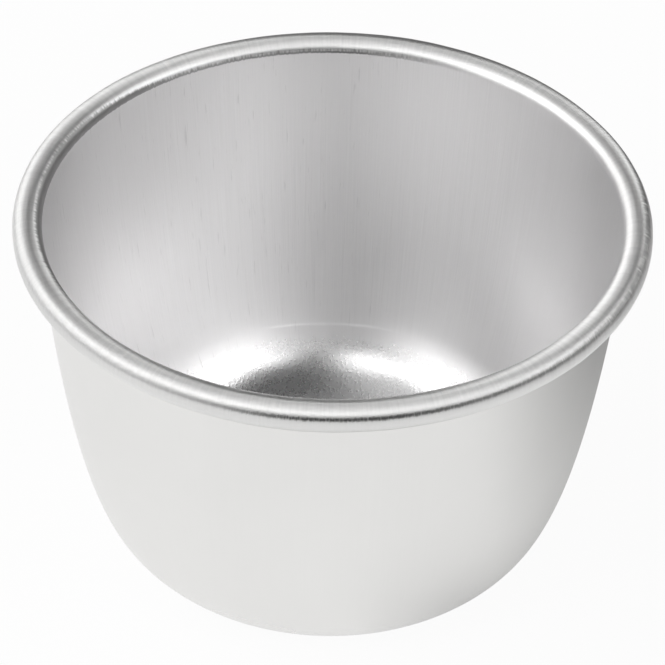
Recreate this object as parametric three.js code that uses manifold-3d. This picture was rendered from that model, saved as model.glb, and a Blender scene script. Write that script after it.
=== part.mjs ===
// Dariole mould: a small round-bottomed cup drawn from one aluminium sheet,
// with its rim rolled outwards over a wire hoop.
// Millimetres, +Z up. The origin is at the middle of the flat underside.

import * as THREE from "three";
import { mergeVertices } from "three/addons/utils/BufferGeometryUtils.js";
import Module from "manifold-3d";

// Driving dimensions
const RIM_DIAMETER = 80; // over the outside of the rolled rim
const HEIGHT = 51.1; // from the underside to the top of the rim
const SHEET = 0.7; // thickness of the drawn sheet
const BASE_FLAT_DIAMETER = 38; // flat part of the underside
const BASE_CORNER_RADIUS = 12; // outside of the bend between base and wall
const WALL_FOOT_LEAN = 24.5; // degrees from upright, where the wall leaves the base bend
const WALL_RIM_LEAN = 4.5; // degrees from upright, where the wall runs into the rim
const WALL_FOOT_PULL = 0.165; // share of the wall's height over which the lean at the foot tells
const WALL_RIM_PULL = 0.51; // share of the wall's height over which the lean at the rim tells
const WIRE_DIAMETER = 2;
const WIRE_CLEARANCE = 0.2; // all round the wire, inside the curl
const WIRE_END_GAP = 0.5; // between the two butted ends of the hoop
const CURL_EDGE_GAP = 0.35; // between the sheet's cut edge and the wall

// Counts of flat segments on the round stretches
const TURN_SEGMENTS = 72;
const BEND_SEGMENTS = 8;
const WALL_SEGMENTS = 9;
const CURL_SEGMENTS = 14;
const WIRE_SEGMENTS = 10;

// The curl wraps the wire, so the wire sets its size and the rim sets its place.
const curlInside = WIRE_DIAMETER / 2 + WIRE_CLEARANCE;
const curlOutside = curlInside + SHEET;
const curlMiddle = (curlInside + curlOutside) / 2;
const curlCentre = new THREE.Vector2(RIM_DIAMETER / 2 - curlOutside, HEIGHT - curlOutside);

const footLean = THREE.MathUtils.degToRad(WALL_FOOT_LEAN);
const rimLean = THREE.MathUtils.degToRad(WALL_RIM_LEAN);

// Direction of a wall that rises while it leans outwards from upright.
const rising = (lean) => new THREE.Vector2(Math.sin(lean), Math.cos(lean));

// Middle line of the sheet in the radius and height plane, from the axis out along the base,
// round the base bend, up the wall and over the wire to the cut edge under the rim.
function sheetMiddleLine() {
  const middle = SHEET / 2;
  const flatEnd = new THREE.Vector2(BASE_FLAT_DIAMETER / 2, middle);
  const base = new THREE.LineCurve(new THREE.Vector2(0, middle), flatEnd);

  const bendRadius = BASE_CORNER_RADIUS - middle;
  const bend = new THREE.EllipseCurve(
    flatEnd.x, BASE_CORNER_RADIUS, bendRadius, bendRadius, -Math.PI / 2, -footLean,
  );

  // The wall meets the curl above the wire's middle, at the height where both lean alike.
  const curlStart = Math.PI - rimLean;
  const curlEnd = curlStart + Math.acos((curlInside - CURL_EDGE_GAP) / curlOutside);
  const curl = new THREE.EllipseCurve(
    curlCentre.x, curlCentre.y, curlMiddle, curlMiddle, curlStart, curlEnd, true,
  );

  const foot = bend.getPoint(1);
  const top = curl.getPoint(0);
  const chord = foot.distanceTo(top);
  const wall = new THREE.CubicBezierCurve(
    foot,
    rising(footLean).multiplyScalar(WALL_FOOT_PULL * chord).add(foot),
    rising(rimLean).multiplyScalar(-WALL_RIM_PULL * chord).add(top),
    top,
  );

  return [
    { curve: base, steps: 1 },
    { curve: bend, steps: BEND_SEGMENTS },
    { curve: wall, steps: WALL_SEGMENTS },
    { curve: curl, steps: CURL_SEGMENTS },
  ];
}

// Closed outline of the sheet: its outer face from the axis to the cut edge,
// then its inner face back to the axis, each half a thickness from the middle line.
function sheetOutline() {
  const outer = [];
  const inner = [];
  const addPair = (curve, u) => {
    const point = curve.getPoint(u);
    const along = curve.getTangent(u);
    const outwards = new THREE.Vector2(along.y, -along.x).multiplyScalar(SHEET / 2);
    outer.push(point.clone().add(outwards));
    inner.unshift(point.clone().sub(outwards));
  };
  sheetMiddleLine().forEach(({ curve, steps }, index) => {
    const first = index === 0 ? 0 : 1;
    for (let i = first; i <= steps; i += 1) addPair(curve, i / steps);
  });
  return [...outer, ...inner];
}

// Turns an outline of radius and height round the Z axis.
function turned(outline) {
  return new THREE.LatheGeometry(outline, TURN_SEGMENTS).rotateX(Math.PI / 2);
}

// A full wire ring, as round as its number of segments allows.
function wireRing() {
  const section = new THREE.EllipseCurve(curlCentre.x, curlCentre.y, WIRE_DIAMETER / 2, WIRE_DIAMETER / 2);
  return turned(section.getPoints(WIRE_SEGMENTS));
}

const wasm = await Module();
wasm.setup();

function toSolid(geometry) {
  const bare = geometry.clone().deleteAttribute("normal").deleteAttribute("uv");
  const merged = mergeVertices(bare);
  return new wasm.Manifold(
    new wasm.Mesh({
      numProp: 3,
      vertProperties: merged.getAttribute("position").array,
      triVerts: new Uint32Array(merged.index.array),
    }),
  );
}

function cut(body, tool) {
  const result = toSolid(body).subtract(toSolid(tool)).getMesh();
  const geometry = new THREE.BufferGeometry();
  geometry.setAttribute("position", new THREE.BufferAttribute(result.vertProperties, result.numProp));
  geometry.setIndex(new THREE.BufferAttribute(result.triVerts, 1));
  geometry.computeVertexNormals();
  return geometry;
}

// The hoop is cut to length and bent round, so its two ends butt at the back of the rim.
function wireHoop() {
  const saw = new THREE.BoxGeometry(WIRE_END_GAP, 2 * WIRE_DIAMETER, 2 * WIRE_DIAMETER);
  saw.translate(0, curlCentre.x, curlCentre.y);
  return cut(wireRing(), saw);
}

const satinAluminium = new THREE.MeshStandardMaterial({ color: 0xcdcdcb, roughness: 0.34, metalness: 1 });
const drawnSteel = new THREE.MeshStandardMaterial({ color: 0x9a9c9f, roughness: 0.45, metalness: 1 });

function piece(name, geometry, material) {
  const mesh = new THREE.Mesh(geometry, material);
  mesh.name = name;
  return mesh;
}

const mould = new THREE.Group();
mould.add(piece("drawn_cup", turned(sheetOutline()), satinAluminium));
mould.add(piece("rim_wire", wireHoop(), drawnSteel));

export default mould;
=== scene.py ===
"""A dariole mould: a small aluminium cup with a rolled rim, on a pale studio floor. Metres, +Z up."""

import math
from types import SimpleNamespace

import bpy
import numpy as np
from mathutils import Matrix, Vector


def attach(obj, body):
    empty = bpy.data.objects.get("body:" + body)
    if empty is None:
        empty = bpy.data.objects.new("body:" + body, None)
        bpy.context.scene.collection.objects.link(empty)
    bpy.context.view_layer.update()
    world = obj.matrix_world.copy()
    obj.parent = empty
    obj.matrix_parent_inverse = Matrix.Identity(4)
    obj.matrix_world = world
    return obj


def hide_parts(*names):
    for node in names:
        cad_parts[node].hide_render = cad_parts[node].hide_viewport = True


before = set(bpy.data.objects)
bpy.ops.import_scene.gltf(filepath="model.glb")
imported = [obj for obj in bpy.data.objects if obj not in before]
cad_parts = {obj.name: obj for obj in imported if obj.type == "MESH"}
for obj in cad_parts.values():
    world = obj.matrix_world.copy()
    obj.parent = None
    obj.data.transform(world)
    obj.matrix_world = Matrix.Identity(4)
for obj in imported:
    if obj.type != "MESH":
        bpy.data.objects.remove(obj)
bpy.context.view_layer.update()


# Drawn cup
# One disc of aluminium sheet, pressed through a ring by a round-nosed punch into a tapered cup. The punch
# leaves upright lines on the wall and a low step where its nose ended. The trimmed edge is rolled outwards
# into a bead, which the rolling tool burnishes. Painted shade darkens the crease inside under the bead at
# the back and the left, and the bead's left side. A painted dark reflection runs along the bead's front.

RIM_RADIUS = 0.0400
CUP_HEIGHT = 0.0511
SHEET = 0.0007
BASE_FLAT_RADIUS = 0.0190
BASE_BEND_RADIUS = 0.0120
FOOT_LEAN = math.radians(24.5)
RIM_LEAN = math.radians(4.5)
FOOT_PULL = 0.165
RIM_PULL = 0.51
CURL_INSIDE = 0.0012
CURL_EDGE_GAP = 0.00035

# Step left by the punch's nose. A place round the cup is a bearing and a spread, in degrees.
NOSE_STEP_HEIGHT = 0.0083
NOSE_STEP_PROUD = 0.00009
NOSE_STEP_WIDTH = 0.00018
NOSE_STEP_RUN = 0.0035
NOSE_STEP_ROUND = (90, 15)
NOSE_KINK_ROUND = (90.4, 1.0)
NOSE_KINK_SHARE = 0.35

# Crease between the wall and the bead
CREASE_DEPTH = 0.00003
CREASE_WIDTH = 0.00012
CREASE_ABOVE_WALL = 0.0002
CREASE_UNEVENNESS = 0.35
CREASE_WAVES = np.arange(12.0, 60.0)
CREASE_BACK_ROUND = (95, 20)
CREASE_LEFT_ROUND = (180, 35)

# Ripples along the sheet's normal: their size, and how many waves go round the cup
OUT_OF_ROUND = 0.00004
OUT_OF_ROUND_WAVES = np.arange(2.0, 7.0)
RIM_CHATTER = 0.000012
RIM_CHATTER_WAVES = np.arange(9.0, 80.0)

# Rings along each stretch of the sheet, with close ones at the step and the crease, and points to a ring
BASE_RINGS = 5
BEND_RINGS = 16
WALL_RINGS = np.linspace(0, 1, 26)
STEP_RINGS = np.linspace(-0.012, 0.012, 21)
CREASE_RINGS_ON_WALL = np.linspace(0.985, 1, 7)
CREASE_RINGS_ON_CURL = np.linspace(0, 0.1, 11)
CURL_RINGS = np.linspace(0, 1, 36)
EDGE_RINGS = 7
COLUMNS = 400

# Share of the curl over which the wall's finish turns into the bead's
BEAD_ONSET = 1 / 6


def arc(centre, radius, angles):
    """Points on a circle and their unit tangents, in the sense in which the angles run."""
    points = np.column_stack([centre[0] + radius * np.cos(angles), centre[1] + radius * np.sin(angles)])
    sense = np.sign(angles[-1] - angles[0])
    return points, sense * np.column_stack([-np.sin(angles), np.cos(angles)])


def cubic(p0, p1, p2, p3, u):
    """Points on a cubic Bezier curve and their unit tangents."""
    u = u[:, None]
    points = (1 - u) ** 3 * p0 + 3 * u * (1 - u) ** 2 * p1 + 3 * u**2 * (1 - u) * p2 + u**3 * p3
    speed = (1 - u) ** 2 * (p1 - p0) + 2 * u * (1 - u) * (p2 - p1) + u**2 * (p3 - p2)
    return points, speed / np.linalg.norm(speed, axis=1, keepdims=True)


def sheet_middle_line():
    """Radius and height of the sheet's middle from the axis to the cut edge, with unit tangents.

    A straight base, an arc into the wall, a cubic up the wall that keeps a lean at each end,
    and an arc of most of a turn round the wire. The last array says how far round the curl a point is.
    """
    half = SHEET / 2
    curl_outside = CURL_INSIDE + SHEET
    curl_centre = np.array([RIM_RADIUS - curl_outside, CUP_HEIGHT - curl_outside])
    curl_from = math.pi - RIM_LEAN
    curl_to = curl_from + math.acos((CURL_INSIDE - CURL_EDGE_GAP) / curl_outside) - 2 * math.pi

    base_radii = np.linspace(0, BASE_FLAT_RADIUS, BASE_RINGS)
    base = np.column_stack([base_radii, np.full_like(base_radii, half)])
    base_tangents = np.tile([1.0, 0.0], (len(base), 1))
    bend_centre = (BASE_FLAT_RADIUS, BASE_BEND_RADIUS)
    bend_angles = np.linspace(-math.pi / 2, -FOOT_LEAN, BEND_RINGS)
    bend, bend_tangents = arc(bend_centre, BASE_BEND_RADIUS - half, bend_angles)
    curl_share = np.union1d(CREASE_RINGS_ON_CURL, CURL_RINGS)
    curl_angles = curl_from + (curl_to - curl_from) * curl_share
    curl, curl_tangents = arc(curl_centre, CURL_INSIDE + half, curl_angles)

    foot, top = bend[-1], curl[0]
    chord = np.linalg.norm(top - foot)
    foot_handle = foot + FOOT_PULL * chord * bend_tangents[-1]
    rim_handle = top - RIM_PULL * chord * curl_tangents[0]
    heights = cubic(foot, foot_handle, rim_handle, top, WALL_RINGS)[0][:, 1]
    step_at = np.interp(NOSE_STEP_HEIGHT, heights, WALL_RINGS)
    rings = np.unique(np.concatenate([WALL_RINGS, step_at + STEP_RINGS, CREASE_RINGS_ON_WALL]))
    wall, wall_tangents = cubic(foot, foot_handle, rim_handle, top, rings)

    points = np.vstack([base, bend[1:], wall[1:], curl[1:]])
    tangents = np.vstack([base_tangents, bend_tangents[1:], wall_tangents[1:], curl_tangents[1:]])
    on_curl = np.zeros(len(points))
    on_curl[-len(curl) :] = curl_share
    return points, tangents, on_curl


def ripple(angles, waves, size, seed):
    """A sum of cosine waves round the cup, with seeded phases and a height that falls as 1 / wave number."""
    phases = np.random.default_rng(seed).uniform(0, 2 * math.pi, len(waves))
    heights = np.cos(np.outer(angles, waves) + phases) / waves
    return size * heights.sum(1) / np.linalg.norm(1 / waves)


def facing(angles, degrees, spread):
    """A smooth window round the cup: 1 at one bearing, falling to 0 over a spread in degrees."""
    off = np.degrees(np.angle(np.exp(1j * (angles - math.radians(degrees)))))
    return np.exp(-((off / spread) ** 4))


def cup_surface():
    """The sheet's closed outline carried round the axis, with the attributes of its rings.

    The outline runs along the outer face to the cut edge, round the edge in a half circle, and back
    along the food side. Each point is moved along the sheet's normal by ripples that grow to the rim,
    and on the food side by the step that the punch's nose left and the crease under the bead.
    """
    middle, along, on_curl = sheet_middle_line()
    outwards = np.column_stack([along[:, 1], -along[:, 0]])
    half = SHEET / 2
    edge_turn = np.linspace(0, math.pi, EDGE_RINGS)[1:-1, None]
    edge = middle[-1] + half * (np.cos(edge_turn) * outwards[-1] + np.sin(edge_turn) * along[-1])
    outline = np.vstack([middle + half * outwards, edge, (middle - half * outwards)[::-1]])
    normal = np.vstack([outwards, np.tile(outwards[-1], (len(edge), 1)), outwards[::-1]])

    def both_faces(rows, at_edge):
        return np.concatenate([rows, np.full(len(edge), at_edge), rows[::-1]])

    wall_sway = both_faces(np.clip(middle[:, 1] / CUP_HEIGHT, 0, 1), 1.0)
    curl_turn = both_faces(on_curl, 1.0)
    rim_sway = np.clip(curl_turn / BEAD_ONSET, 0, 1)
    food_side = np.concatenate([np.zeros(len(middle)), np.full(len(edge), 0.5), np.ones(len(middle))])

    above_step = middle[:, 1] - NOSE_STEP_HEIGHT
    run_up = np.clip(1 + above_step / NOSE_STEP_RUN, 0, 1) ** 2
    step = run_up * (1 - np.tanh(above_step / NOSE_STEP_WIDTH)) / 2
    lengths = np.linalg.norm(np.diff(middle, axis=0), axis=1)
    travelled = np.concatenate([[0], np.cumsum(lengths)])
    crease_at = travelled[np.argmax(on_curl > 0)] + CREASE_ABOVE_WALL
    crease = np.exp(-(((travelled - crease_at) / CREASE_WIDTH) ** 2))
    step_rows = both_faces(step, 0.0) * (food_side == 1)
    crease_rows = both_faces(crease, 0.0) * (food_side == 1)

    angles = np.linspace(0, 2 * math.pi, COLUMNS, endpoint=False)
    out_of_round = ripple(angles, OUT_OF_ROUND_WAVES, OUT_OF_ROUND, seed=3)
    chatter = ripple(angles, RIM_CHATTER_WAVES, RIM_CHATTER, seed=8)
    uneven = 1 + ripple(angles, CREASE_WAVES, CREASE_UNEVENNESS, seed=5)
    kink = 1 - NOSE_KINK_SHARE * facing(angles, *NOSE_KINK_ROUND)
    step_proud = NOSE_STEP_PROUD * facing(angles, *NOSE_STEP_ROUND) * kink
    creased = facing(angles, *CREASE_BACK_ROUND) + facing(angles, *CREASE_LEFT_ROUND)
    crease_deep = CREASE_DEPTH * uneven * creased
    shift = wall_sway[:, None] * out_of_round + rim_sway[:, None] * chatter
    shift += crease_rows[:, None] * crease_deep - step_rows[:, None] * step_proud
    radius = outline[:, :1] + normal[:, :1] * shift
    height = outline[:, 1:] + normal[:, 1:] * shift
    grid = np.stack([radius * np.cos(angles), radius * np.sin(angles), height], axis=2)
    return grid, {"rolled_rim": rim_sway, "curl_turn": curl_turn, "food_side": food_side}


def add_turned_mesh(name, grid, attributes):
    """A mesh from a grid of rings whose first and last ring are each a single point.

    Rings in between are joined by four-sided faces, and each pole by a fan of triangles.
    """
    rings, columns = grid.shape[:2]
    points = np.vstack([grid[0, :1], grid[1:-1].reshape(-1, 3), grid[-1, :1]])
    column = np.arange(columns)
    beside = (column + 1) % columns
    start = 1 + columns * np.arange(rings - 3)[:, None]
    corners = [start + column, start + beside, start + columns + beside, start + columns + column]
    quads = np.stack(corners, axis=2).reshape(-1, 4)
    last_ring = 1 + columns * (rings - 3)
    south = np.column_stack([np.zeros(columns, int), 1 + beside, 1 + column])
    north = np.column_stack([np.full(columns, len(points) - 1), last_ring + column, last_ring + beside])
    mesh = bpy.data.meshes.new(name)
    mesh.from_pydata(points, [], quads.tolist() + south.tolist() + north.tolist())
    mesh.polygons.foreach_set("use_smooth", np.ones(len(mesh.polygons), bool))
    for attribute, rows in attributes.items():
        values = np.concatenate([rows[:1], np.repeat(rows[1:-1], columns), rows[-1:]])
        mesh.attributes.new(attribute, "FLOAT", "POINT").data.foreach_set("value", values.astype(np.float32))
    mesh.validate()
    piece = bpy.data.objects.new(name, mesh)
    bpy.context.scene.collection.objects.link(piece)
    return piece


class Signal:
    """A shader socket. Sums and products of signals and numbers add their own Math nodes."""

    def __init__(self, tree, socket=None):
        self.tree = tree
        self.socket = socket

    def node(self, kind, settings, inputs, output=0):
        """Adds a node, sets its settings first, then its sockets, and gives one of its outputs."""
        made = self.tree.nodes.new(kind)
        for name, value in settings.items():
            setattr(made, name, value)
        for name, value in inputs.items():
            if isinstance(value, Signal):
                self.tree.links.new(value.socket, made.inputs[name])
            else:
                made.inputs[name].default_value = value
        return Signal(self.tree, made.outputs[output] if made.outputs else None)

    def maths(self, operation, *values):
        """A Math node on signals and numbers."""
        return self.node("ShaderNodeMath", {"operation": operation}, dict(enumerate(values)))

    def also(self, output):
        """Another output of the node that this signal comes from."""
        return Signal(self.tree, self.socket.node.outputs[output])

    def __add__(self, other):
        return self.maths("ADD", self, other)

    def __sub__(self, other):
        return self.maths("SUBTRACT", self, other)

    def __rsub__(self, other):
        return self.maths("SUBTRACT", other, self)

    def __mul__(self, other):
        return self.maths("MULTIPLY", self, other)

    def __truediv__(self, other):
        return self.maths("DIVIDE", self, other)

    def __pow__(self, other):
        return self.maths("POWER", self, other)

    def __abs__(self):
        return self.maths("ABSOLUTE", self)

    __radd__ = __add__
    __rmul__ = __mul__


def new_material(name):
    """A material with a fresh node tree, and the Signal that builds its nodes."""
    material = bpy.data.materials.new(name)
    material.use_nodes = True
    material.node_tree.nodes.clear()
    return material, Signal(material.node_tree)


def ramp(value, low, high):
    """0 at one value and 1 at the other, straight between and level beyond them."""
    return value.node("ShaderNodeMapRange", {}, {"Value": value, "From Min": low, "From Max": high})


def noise(place, cells, detail):
    """Noise about zero, in cells to the place's unit."""
    sockets = {"Vector": place, "Scale": cells, "Detail": detail}
    return place.node("ShaderNodeTexNoise", {}, sockets, "Fac") - 0.5


def stretched_noise(at, cells_round, cells_up, detail):
    """Noise about zero on the cup, in cells to the radian round it and to the metre up it."""
    axes = {"X": at.east * cells_round, "Y": at.north * cells_round, "Z": at.height * cells_up}
    return noise(at.height.node("ShaderNodeCombineXYZ", {}, axes), 1.0, detail)


def tinted(tone, tint):
    """A colour: a tint scaled by a tone."""
    return tone.node("ShaderNodeVectorMath", {"operation": "SCALE"}, {0: tint, "Scale": tone})


def embossed(relief, depth):
    """A normal tilted by a relief, of which one unit stands for a depth in metres."""
    return relief.node("ShaderNodeBump", {}, {"Strength": 1.0, "Distance": depth, "Height": relief})


# Stretched noises, each as cells to the radian round the cup, cells to the metre up it, and detail
FINE_LINES = (260, 90, 3.0)
BROAD_LINES = (60, 40, 2.0)
TOOL_MARKS = (110, 260, 3.0)
DARK_REFLECTION_BREAKS = (200, 600, 2.0)

# Even noises, each as cells to the metre and detail
LINE_PATCHES = (45, 2.0)
CLOUDS = (60, 3.0)
GRAIN = (2600, 1.0)
PITS = (2200, 2.0)

# Heights between which the bottom's roughness and grain give way to the wall's
BOTTOM_FADE = (0.006, 0.013)
GRAIN_FADE = (0.003, 0.007)

# Stretches along the curl are shares of its turn, and those round the cup are eastings or northings.
LEFT_SIDE = (-0.6, -0.95)
# Painted shade in the crease under the bead
CREASE_SHADE_BEGINS = (0.004, 0.02)
CREASE_SHADE_ENDS = (0.03, 0.07)
CREASE_SHADE_WIDER_LEFT = 0.12
CREASE_SHADE_TOWARDS = (-0.82, 0.57)
CREASE_SHADE_ROUND = (0.2, 0.5)
# Painted dark reflection along the bead's front
DARK_REFLECTION_TURN = 0.507
DARK_REFLECTION_CLIMB = 0.10
DARK_REFLECTION_HALF_WIDTH = 0.025
DARK_REFLECTION_WIDENING = 0.03
DARK_REFLECTION_FROM_LEFT = (-0.35, -0.1)
DARK_REFLECTION_TO_BACK = (0.1, 0.4)
FAINT_FROM = (0.2, 0.45)
FAINT_TO = (0.75, 0.95)
OUTER_HALF = (0.52, 0.6)

OUTSIDE_TINT = (1.005, 1.0, 0.985)
INSIDE_TINT = (1.002, 0.997, 0.999)
BEAD_TINT = (1.0, 0.998, 0.99)
WALL_RELIEF = 0.000006
BEAD_RELIEF = 0.000008
# Share by which the painted shade in the crease darkens the tone
CREASE_SHADE_DARKENING = 0.55
AXIS_GUARD = 1e-9


def cup_places(shade):
    """Where a point is on the cup: its bearing and height, its share of the curl, its side of the sheet."""
    place = shade.node("ShaderNodeTexCoord", {}, {}, "Object")
    x = shade.node("ShaderNodeSeparateXYZ", {}, {"Vector": place})
    y = x.also("Y")
    radius = (x * x + y * y + AXIS_GUARD) ** 0.5
    east = x / radius

    def ring_value(name):
        return shade.node("ShaderNodeAttribute", {"attribute_name": name}, {}, "Fac")

    return SimpleNamespace(
        place=place,
        east=east,
        north=y / radius,
        height=x.also("Z"),
        leftwards=ramp(east, *LEFT_SIDE),
        bead=ring_value("rolled_rim"),
        turn=ring_value("curl_turn"),
        inside=ring_value("food_side"),
    )


def paint_crease_shade(at, tool_marks):
    """Painted shade in the crease at the back and the left: a ragged band of the curl's turn, wider on the
    left.
    """
    behind = ramp(CREASE_SHADE_TOWARDS[0] * at.east + CREASE_SHADE_TOWARDS[1] * at.north, *CREASE_SHADE_ROUND)
    begun = ramp(at.turn + 0.03 * tool_marks, *CREASE_SHADE_BEGINS)
    ended = ramp(at.turn + 0.10 * tool_marks - CREASE_SHADE_WIDER_LEFT * at.leftwards, *CREASE_SHADE_ENDS)
    return begun * (1 - ended) * at.inside * behind


def paint_dark_reflection(at, tool_marks, pits):
    """A painted dark reflection along the bead's front.

    A ragged band about one turn of the curl. It climbs and widens to the right, faint on the way, and
    noise breaks it up.
    """
    climb = ramp(at.east, 0.0, 1.0) ** 3.0
    off = at.turn - DARK_REFLECTION_TURN + DARK_REFLECTION_CLIMB * climb + 0.03 * tool_marks + 0.03 * pits
    band = 1 - ramp(abs(off) / (DARK_REFLECTION_HALF_WIDTH + DARK_REFLECTION_WIDENING * climb), 0.3, 1.3)
    in_front = ramp(at.east, *DARK_REFLECTION_FROM_LEFT) * (1 - ramp(at.north, *DARK_REFLECTION_TO_BACK))
    faint = ramp(at.east, *FAINT_FROM) * (1 - ramp(at.east, *FAINT_TO))
    unbroken = ramp(stretched_noise(at, *DARK_REFLECTION_BREAKS), -0.3, 0.0)
    return band * in_front * unbroken * (1 - 0.6 * faint)


def wall_metal(at, clouds, crease_shade):
    """Drawn sheet: patches of upright lines on the wall, mostly inside, and even grain on the bottom.

    Tone, roughness and relief are each a level with shares of the lines, the clouds and the grain.
    """
    grain = noise(at.place, *GRAIN)
    patches = ramp(noise(at.place, *LINE_PATCHES), -0.12, 0.12)
    raised = ramp(at.height, *BOTTOM_FADE)
    bottom = (1 - raised) * at.inside
    grained = (1 - ramp(at.height, *GRAIN_FADE)) * at.inside
    lined = raised * (0.12 + 0.88 * at.inside) * (0.35 + 0.65 * patches)
    fine_lines = stretched_noise(at, *FINE_LINES) * lined
    broad_lines = stretched_noise(at, *BROAD_LINES) * lined

    tone = 0.84 + 0.12 * at.inside + 0.16 * fine_lines + 0.07 * broad_lines + 0.05 * clouds
    # Painted shade in the crease under the bead darkens the tone.
    tone = tone * (1 - CREASE_SHADE_DARKENING * crease_shade) * (1 - 0.09 * bottom)
    rough = 0.28 + 0.10 * raised + 0.14 * fine_lines + 0.08 * clouds + 0.10 * grain * bottom
    relief = 1.1 * fine_lines + 0.6 * broad_lines + (0.3 + 3.6 * grained) * grain
    # A Mix node's vector sockets are its inputs 4 and 5 and its output 1.
    tints = {0: at.inside, 4: OUTSIDE_TINT, 5: INSIDE_TINT}
    tint = at.inside.node("ShaderNodeMix", {"data_type": "VECTOR"}, tints, 1)
    finish = {
        "Base Color": tinted(tone, tint),
        "Metallic": 1.0,
        "Roughness": rough,
        "Normal": embossed(relief, WALL_RELIEF),
    }
    return at.inside.node("ShaderNodeBsdfPrincipled", {}, finish)


def bead_metal(at, clouds, crease_shade, tool_marks):
    """Burnished bead: tool marks across it and pits; painted shade in the crease and on the left; a painted
    dark reflection.

    The marks blur what it mirrors more along the rim than across it. They are weaker on the outer half.
    """
    pits = noise(at.place, *PITS)
    # A painted dark reflection along the bead's front
    dark_reflection = paint_dark_reflection(at, tool_marks, pits)
    marks = tool_marks * (1 - 0.7 * ramp(at.turn, *OUTER_HALF))
    tone = 0.92 + 0.22 * marks + 0.06 * clouds
    # Painted shade darkens the crease and the bead's left side, and the painted dark reflection darkens its
    # front.
    tone = tone * (1 - CREASE_SHADE_DARKENING * crease_shade) * (1 - 0.7 * dark_reflection) * (1 - 0.14 * at.leftwards)
    finish = {
        "Base Color": tinted(tone, BEAD_TINT),
        "Metallic": 1.0,
        "Roughness": 0.55 + 0.30 * marks + 0.08 * clouds,
        "Anisotropic": 0.9,
        "Normal": embossed(3.0 * marks + 3.0 * pits, BEAD_RELIEF),
    }
    return at.turn.node("ShaderNodeBsdfPrincipled", {}, finish)


def satin_aluminium():
    """Satin aluminium: drawn sheet on the base and wall, which turns into burnished metal on the bead."""
    material, shade = new_material("satin_aluminium")
    at = cup_places(shade)
    clouds = noise(at.place, *CLOUDS)
    tool_marks = stretched_noise(at, *TOOL_MARKS)
    # Painted shade in the crease under the bead
    crease_shade = paint_crease_shade(at, tool_marks)
    sheet = wall_metal(at, clouds, crease_shade)
    bead = bead_metal(at, clouds, crease_shade, tool_marks)
    metal = shade.node("ShaderNodeMixShader", {}, {0: at.bead, 1: sheet, 2: bead})
    shade.node("ShaderNodeOutputMaterial", {}, {"Surface": metal})
    return material


cup_grid, cup_rows = cup_surface()
drawn_cup = add_turned_mesh("cup", cup_grid, cup_rows)
drawn_cup.data.materials.append(satin_aluminium())
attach(drawn_cup, "root")
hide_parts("drawn_cup")


# Rim wire
# A length of bright steel wire, bent to a hoop with its two sheared ends butted at the back.
# The sheet is rolled over it and traps it, so none of it shows from outside.

WIRE_RADIUS = 0.0010
WIRE_END_GAP = 0.0005
WIRE_END_ROUND = 0.0002
HOOP_RADIUS = RIM_RADIUS - CURL_INSIDE - SHEET
HOOP_HEIGHT = CUP_HEIGHT - CURL_INSIDE - SHEET
HOOP_RINGS = 240
WIRE_EDGE_RINGS = 6
WIRE_COLUMNS = 24
WIRE_TINT = (1.0, 1.01, 1.03)
DIE_LINES_ACROSS = 4000
DIE_LINES_ALONG = 60


def hoop_surface():
    """A round section carried once round the rim, from one butted end to the other.

    At each end the section grows from a point over a flat face, then round an edge of a quarter circle.
    """
    edge_turn = np.linspace(0, math.pi / 2, WIRE_EDGE_RINGS)
    end_radii = np.append(0, WIRE_RADIUS - WIRE_END_ROUND * (1 - np.sin(edge_turn)))
    end_along = np.append(0, WIRE_END_ROUND * (1 - np.cos(edge_turn)))
    length = 2 * math.pi * HOOP_RADIUS - WIRE_END_GAP
    between = np.linspace(WIRE_END_ROUND, length - WIRE_END_ROUND, HOOP_RINGS)[1:-1]
    along = np.concatenate([end_along, between, length - end_along[::-1]])
    thick = np.concatenate([end_radii, np.full(len(between), WIRE_RADIUS), end_radii[::-1]])[:, None]
    bearing = math.pi / 2 + (along[:, None] + WIRE_END_GAP / 2) / HOOP_RADIUS
    section = np.linspace(0, 2 * math.pi, WIRE_COLUMNS, endpoint=False)
    radius = HOOP_RADIUS + thick * np.cos(section)
    height = HOOP_HEIGHT - thick * np.sin(section)
    return np.stack([radius * np.cos(bearing), radius * np.sin(bearing), height], axis=2)


def drawn_steel_wire():
    """Bright drawn steel with faint die lines: noise in close cells across the wire, long ones along it."""
    material, shade = new_material("drawn_steel_wire")
    place = shade.node("ShaderNodeTexCoord", {}, {}, "Object")
    x = shade.node("ShaderNodeSeparateXYZ", {}, {"Vector": place})
    y = x.also("Y")
    z = x.also("Z")
    outwards = (x * x + y * y) ** 0.5
    axes = {"X": outwards * DIE_LINES_ACROSS, "Y": z * DIE_LINES_ACROSS, "Z": x * DIE_LINES_ALONG}
    die_lines = noise(shade.node("ShaderNodeCombineXYZ", {}, axes), 1.0, 2.0)
    finish = {
        "Base Color": tinted(0.56 + 0.16 * die_lines, WIRE_TINT),
        "Metallic": 1.0,
        "Roughness": 0.4 + 0.2 * die_lines,
    }
    steel = shade.node("ShaderNodeBsdfPrincipled", {}, finish)
    shade.node("ShaderNodeOutputMaterial", {}, {"Surface": steel})
    return material


rim_wire = add_turned_mesh("hoop", hoop_surface(), {})
rim_wire.data.materials.append(drawn_steel_wire())
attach(rim_wire, "root")
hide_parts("rim_wire")


# Studio floor
# A plain pale sheet of paper under the mould. It isn't part of the object.
# The camera sees it white, and the metal mirrors it with a painted shadow of the mould, greyer to the back,
# to the right and by the foot.

FLOOR_HALF = 3.0
FLOOR_COLOUR = (0.96, 0.96, 0.96, 1)
# Painted shadow of the mould on the floor, seen only in the metal
PAINTED_SHADOW_TOWARDS = (0.68, 0.73)
PAINTED_SHADOW_STRETCH = (0.005, 0.07)
PAINTED_FOOT_SHADOW_RADII = (0.045, 0.026)
RIGHT_SIDE = (0.004, 0.02)
WHITE = (1, 1, 1)


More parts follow.
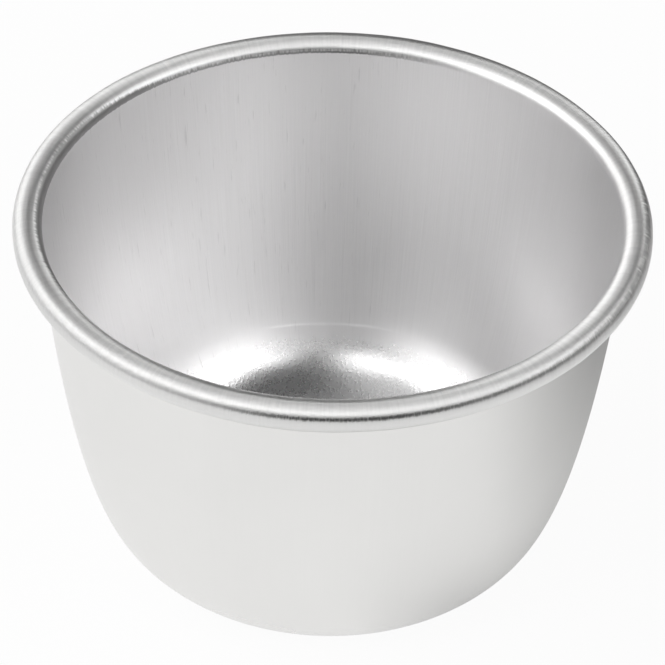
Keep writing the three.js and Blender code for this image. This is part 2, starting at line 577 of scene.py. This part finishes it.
def floor_paper():
    """Pale paper that turns into white for the camera, and part of the way for what the metal mirrors.

    A painted shadow of the mould fades the mirrored white along a slant to the back right, and near the foot
    on the right.
    """
    material, shade = new_material("floor_paper")
    on_camera = shade.node("ShaderNodeLightPath", {}, {}, "Is Camera Ray")
    in_metal = on_camera.also("Is Glossy Ray")
    in_glass = on_camera.also("Is Transmission Ray")
    place = shade.node("ShaderNodeTexCoord", {}, {}, "Object")
    east = shade.node("ShaderNodeSeparateXYZ", {}, {"Vector": place})
    north = east.also("Y")
    # Painted shadows of the mould, for what the metal mirrors: by the foot on the right and to the back
    # right.
    painted_foot_shadow = ramp((east * east + north * north) ** 0.5, *PAINTED_FOOT_SHADOW_RADII) * ramp(east, *RIGHT_SIDE)
    to_the_back = ramp(PAINTED_SHADOW_TOWARDS[0] * east + PAINTED_SHADOW_TOWARDS[1] * north, *PAINTED_SHADOW_STRETCH)
    white_under_painted_shadow = (1 - 0.9 * to_the_back) * (1 - 0.45 * painted_foot_shadow)
    whiteness = on_camera + (1 - on_camera) * white_under_painted_shadow
    white = shade.node("ShaderNodeEmission", {}, {"Color": tinted(whiteness, WHITE), "Strength": 1.0})
    paper = shade.node("ShaderNodeBsdfDiffuse", {}, {"Color": FLOOR_COLOUR})
    mirrored = shade.maths("MAXIMUM", in_metal, in_glass)
    whitened = shade.maths("MAXIMUM", 0.93 * on_camera, 0.65 * mirrored)
    look = shade.node("ShaderNodeMixShader", {}, {0: whitened, 1: paper, 2: white})
    shade.node("ShaderNodeOutputMaterial", {}, {"Surface": look})
    return material


floor_mesh = bpy.data.meshes.new("floor")
floor_corners = FLOOR_HALF * np.array([(-1, -1, 0), (1, -1, 0), (1, 1, 0), (-1, 1, 0)])
floor_mesh.from_pydata(floor_corners, [], [(0, 1, 2, 3)])
floor_mesh.materials.append(floor_paper())
floor = bpy.data.objects.new("floor", floor_mesh)
bpy.context.scene.collection.objects.link(floor)


# Studio light
# Soft boxes round and over the mould: a broad one on each side and smaller ones to the front and the back.
# Dark gaps between them, and a dim room that darkens to its horizon, give the metal its bands.

MOULD_MIDDLE = Vector((0, 0, CUP_HEIGHT / 2))
LAMP_DISTANCE = 0.8
ROOM_COLOUR = (0.07, 0.07, 0.07, 1)
ROOM_FADE = (0.05, 0.5)
HORIZON_LEVEL = 0.05


def soft_box(name, to_the_right, to_the_back, wide, long, radiance):
    """A rectangular lamp that faces the mould, tipped from the zenith by two angles in degrees."""
    lamp = bpy.data.lights.new(name, "AREA")
    lamp.shape = "RECTANGLE"
    lamp.size = wide
    lamp.size_y = long
    lamp.energy = radiance * math.pi * wide * long
    tip = math.radians(to_the_right)
    back = math.radians(to_the_back)
    away = Vector((math.sin(tip) * math.cos(back), math.sin(back), math.cos(tip) * math.cos(back)))
    sideways = Vector((math.cos(tip), 0, -math.sin(tip)))
    turned = Matrix((sideways, away.cross(sideways), away)).transposed().to_4x4()
    box = bpy.data.objects.new(name, lamp)
    box.matrix_world = Matrix.Translation(MOULD_MIDDLE + LAMP_DISTANCE * away) @ turned
    bpy.context.scene.collection.objects.link(box)


soft_box("left_wall", -58, -8, 0.74, 0.95, 2.10)
soft_box("left_high", -25, -3, 0.20, 0.75, 0.48)
soft_box("left_top", -12, -3, 0.16, 0.60, 0.58)
soft_box("right_box", 53, -10, 0.44, 0.90, 2.15)
soft_box("front_left", -20, -38, 0.30, 0.36, 1.68)
soft_box("front_right", 36, -40, 0.30, 0.24, 1.40)
soft_box("front_low", 0, -60, 0.60, 0.28, 0.25)
soft_box("back_left", -52, 34, 0.54, 0.40, 1.06)
soft_box("back_right", 48, 26, 0.40, 0.30, 0.64)
soft_box("back_high_left", -16, 38, 0.24, 0.30, 1.06)
soft_box("back_high_right", 14, 38, 0.24, 0.30, 1.01)
soft_box("back_wall", -10, 76, 1.00, 0.35, 0.15)

room = bpy.data.worlds.new("room")
room.use_nodes = True
room.node_tree.nodes.clear()
air = Signal(room.node_tree)
sight = air.node("ShaderNodeTexCoord", {}, {}, "Generated")
sight_height = air.node("ShaderNodeSeparateXYZ", {}, {"Vector": sight}, "Z")
room_level = air.node(
    "ShaderNodeMapRange",
    {"interpolation_type": "SMOOTHSTEP"},
    {"Value": sight_height, "From Min": ROOM_FADE[0], "From Max": ROOM_FADE[1], "To Min": HORIZON_LEVEL},
)
room_grey = air.node("ShaderNodeBackground", {}, {"Color": ROOM_COLOUR, "Strength": room_level})
air.node("ShaderNodeOutputWorld", {}, {"Surface": room_grey})
bpy.context.scene.world = room


# Camera
# A long lens from the front, 39 degrees above the table. It is rolled a little,
# so that the mould leans clockwise in the picture.

CAMERA_ELEVATION = math.radians(38.92)
CAMERA_ROLL = math.radians(1.15)
CAMERA_DISTANCE = 0.449
CAMERA_AIM = Vector((0.00025, 0, 0.03092))
SENSOR_WIDTH = 36.0
FOCAL_PIXELS = 3500
PICTURE_PIXELS = 665
CLIP_START = 0.01

camera_data = bpy.data.cameras.new("camera")
camera_data.sensor_width = SENSOR_WIDTH
camera_data.lens = SENSOR_WIDTH * FOCAL_PIXELS / PICTURE_PIXELS
camera_data.clip_start = CLIP_START
camera = bpy.data.objects.new("camera", camera_data)
backwards = Vector((0, -math.cos(CAMERA_ELEVATION), math.sin(CAMERA_ELEVATION)))
rightwards = Vector((1, 0, 0))
upwards = backwards.cross(rightwards)
level = Matrix((rightwards, upwards, backwards)).transposed().to_4x4()
stand = Matrix.Translation(CAMERA_AIM + CAMERA_DISTANCE * backwards)
camera.matrix_world = stand @ level @ Matrix.Rotation(CAMERA_ROLL, 4, "Z")
bpy.context.scene.collection.objects.link(camera)
bpy.context.scene.camera = camera
bpy.context.scene.view_settings.view_transform = "Standard"
